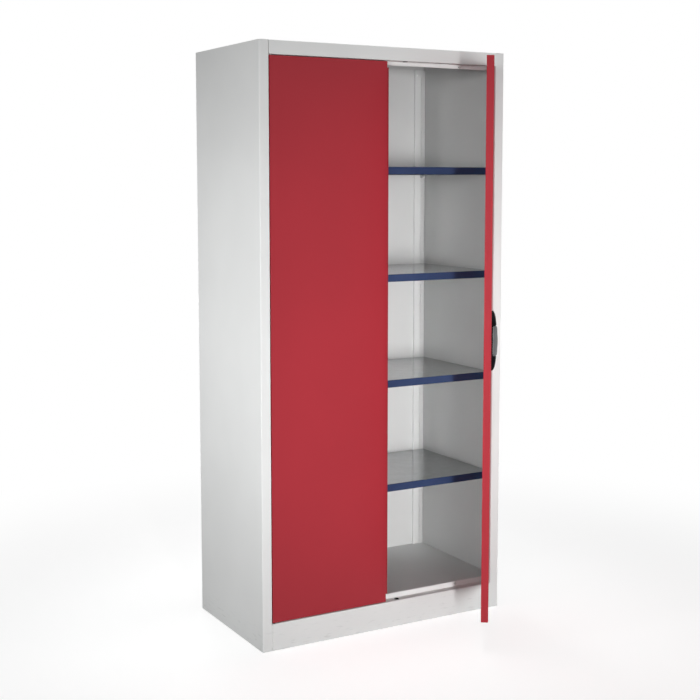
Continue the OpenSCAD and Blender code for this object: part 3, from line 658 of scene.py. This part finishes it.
# %% Rod keepers
keeper_low, keeper_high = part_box("rod_keepers")
collar_r, collar_t = 8.5 * MM, 1 * MM
collar_ease, mouth_ease = 0.6 * MM, 0.7 * MM
keeper_wall, keeper_bore = 6.5 * MM, 5 * MM
keeper_y = 15 * MM
header_h = 44 * MM
ledge_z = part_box("thrust_washers")[0][2]
header_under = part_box("header_rail")[1][2] - header_h
keeper_l = ledge_z - keeper_low[2]
keeper_profile = [(keeper_bore, -keeper_l), (keeper_wall, -keeper_l), (keeper_wall, 0),
                  (collar_r, 0), *eased(collar_r, collar_t, collar_ease),
                  *eased(keeper_bore, collar_t, mouth_ease, -1)[::-1], (keeper_bore, -keeper_l)]
lower_place = (keeper_low[0] + collar_r, keeper_y, ledge_z)
upper_place = (keeper_high[0] - collar_r, keeper_y, header_under)
keepers = [turned(keeper_profile, lower_place, (0, 0, 1)),
           turned(keeper_profile, upper_place, (0, 0, -1))]
skin("rod_keeper_skin", keepers, "carcass", black_plastic, "rod_keepers")

# %% [markdown]
# ## Handle screws
# Two screws hold the handle base from inside the door. They have a pan head with a cross recess: a
# dome over a disc, with two crossed slots taken off its height.

# %% Handle screws
head_r, head_t, head_power = 3.6 * MM, 2.2 * MM, 3
shank_r, shank_l = 2 * MM, 10 * MM
recess_w, recess_l, recess_depth = 0.55 * MM, 2.1 * MM, 1.2 * MM
recess_ease = 0.3 * MM
door_sheet = 1 * MM
screw_rise = 72 * MM


def screw_surface(middle_z, rings, sectors):
    """Dome over a disc, less the deeper of two crossed slots at each point, with the shank behind
    it."""
    angle = round_turn(sectors)[None, :]
    share = np.linspace(0, 1, rings)[:, None]
    x, z = head_r * share * np.cos(angle), head_r * share * np.sin(angle)
    inside = [soft_step((recess_w - np.abs(short)) / recess_ease)
              * soft_step((recess_l - np.abs(far)) / recess_ease)
              for short, far in ((x, z), (z, x))]
    height = head_t * oval(share, head_power) - recess_depth * np.maximum(*inside)
    shank = np.array([shank_r, shank_r, 0])[:, None]
    x = np.vstack([x, shank * np.cos(angle)])
    z = np.vstack([z, shank * np.sin(angle)])
    height = np.vstack([height, np.array([0, -shank_l, -shank_l])[:, None] + 0 * angle])
    return on_handle(x, -door_sheet - height, middle_z + z)


screws = [screw_surface(middle_z, 36, 96) for middle_z in (-screw_rise, screw_rise)]
skin("handle_screw_skin", screws, "right_door", zinc_steel, "handle_screws")

# %% [markdown]
# ## Magnet catches
# A catch holds the left door shut: a plastic case with a magnet between two steel strips that stand
# a little proud of it and meet the door. Case and strips are bars whose section is an oval of a
# high power, which is a block with eased edges.

# %% Magnet catches
catch_low, catch_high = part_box("magnet_catches")
catch_h = 11 * MM
case_setback = 0.7 * MM
strip_t, strip_apart, strip_end = 1.4 * MM, 2.6 * MM, 3 * MM


def bar_surface(low, high, power=9, rows=41, columns=64):
    """Bar along X between two corners: an oval section of that power, which shrinks at both ends
    as an oval of three times the power."""
    middle, half = np.add(low, high) / 2, np.subtract(high, low) / 2
    along = crowded(rows)[:, None]
    angle = round_turn(columns)[None, :]
    end = oval(along, 3 * power)
    y, z = [end * np.sign(wave) * np.abs(wave) ** (2 / power)
            for wave in (np.cos(angle), np.sin(angle))]
    return middle + half * np.stack(np.broadcast_arrays(along, y, z), axis=-1)


cases, strips = [], []
for middle_z in (catch_low[2] + catch_h / 2, catch_high[2] - catch_h / 2):
    cases.append(bar_surface(
        (catch_low[0], catch_low[1] + case_setback, middle_z - catch_h / 2),
        (catch_high[0], catch_high[1], middle_z + catch_h / 2)))
    for strip_z in (middle_z - strip_apart, middle_z + strip_apart):
        strips.append(bar_surface(
            (catch_low[0] + strip_end, catch_low[1], strip_z - strip_t / 2),
            (catch_high[0] - strip_end, catch_high[1], strip_z + strip_t / 2)))
skin("magnet_catch_skin", cases, "carcass", black_plastic, "magnet_catches")
skin("magnet_pole_strips", strips, "carcass", zinc_steel)

# %% [markdown]
# ## Weld marks
# The rear folds of the side panels are spot welded to the back panel. Each weld leaves a shallow
# ring the size of the electrode's tip, which still shows under the paint. One low profile, turned
# about the Y axis, is repeated up both folds.

# %% Weld marks
side_low, side_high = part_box("side_panel_left")
weld_in = 11 * MM
weld_r, weld_rim = 3.2 * MM, 0.22 * MM
welds_per_fold, lowest_share, highest_share = 16, 0.06, 0.94
weld_shares = [(0, 0.3), (0.45, 0.4), (0.65, 1), (0.82, 1), (1, 0), (0, -0.1)]
weld_profile = [(weld_r * radius, weld_rim * rise) for radius, rise in weld_shares]
weld_heights = np.linspace(lowest_share, highest_share, welds_per_fold) * side_high[2]
welds = [turned(weld_profile, (x, side_high[1], z), (0, 1, 0), 24)
         for x in (side_low[0] + weld_in, -side_low[0] - weld_in) for z in weld_heights]
skin("weld_marks", welds, "carcass", carcass_paint)
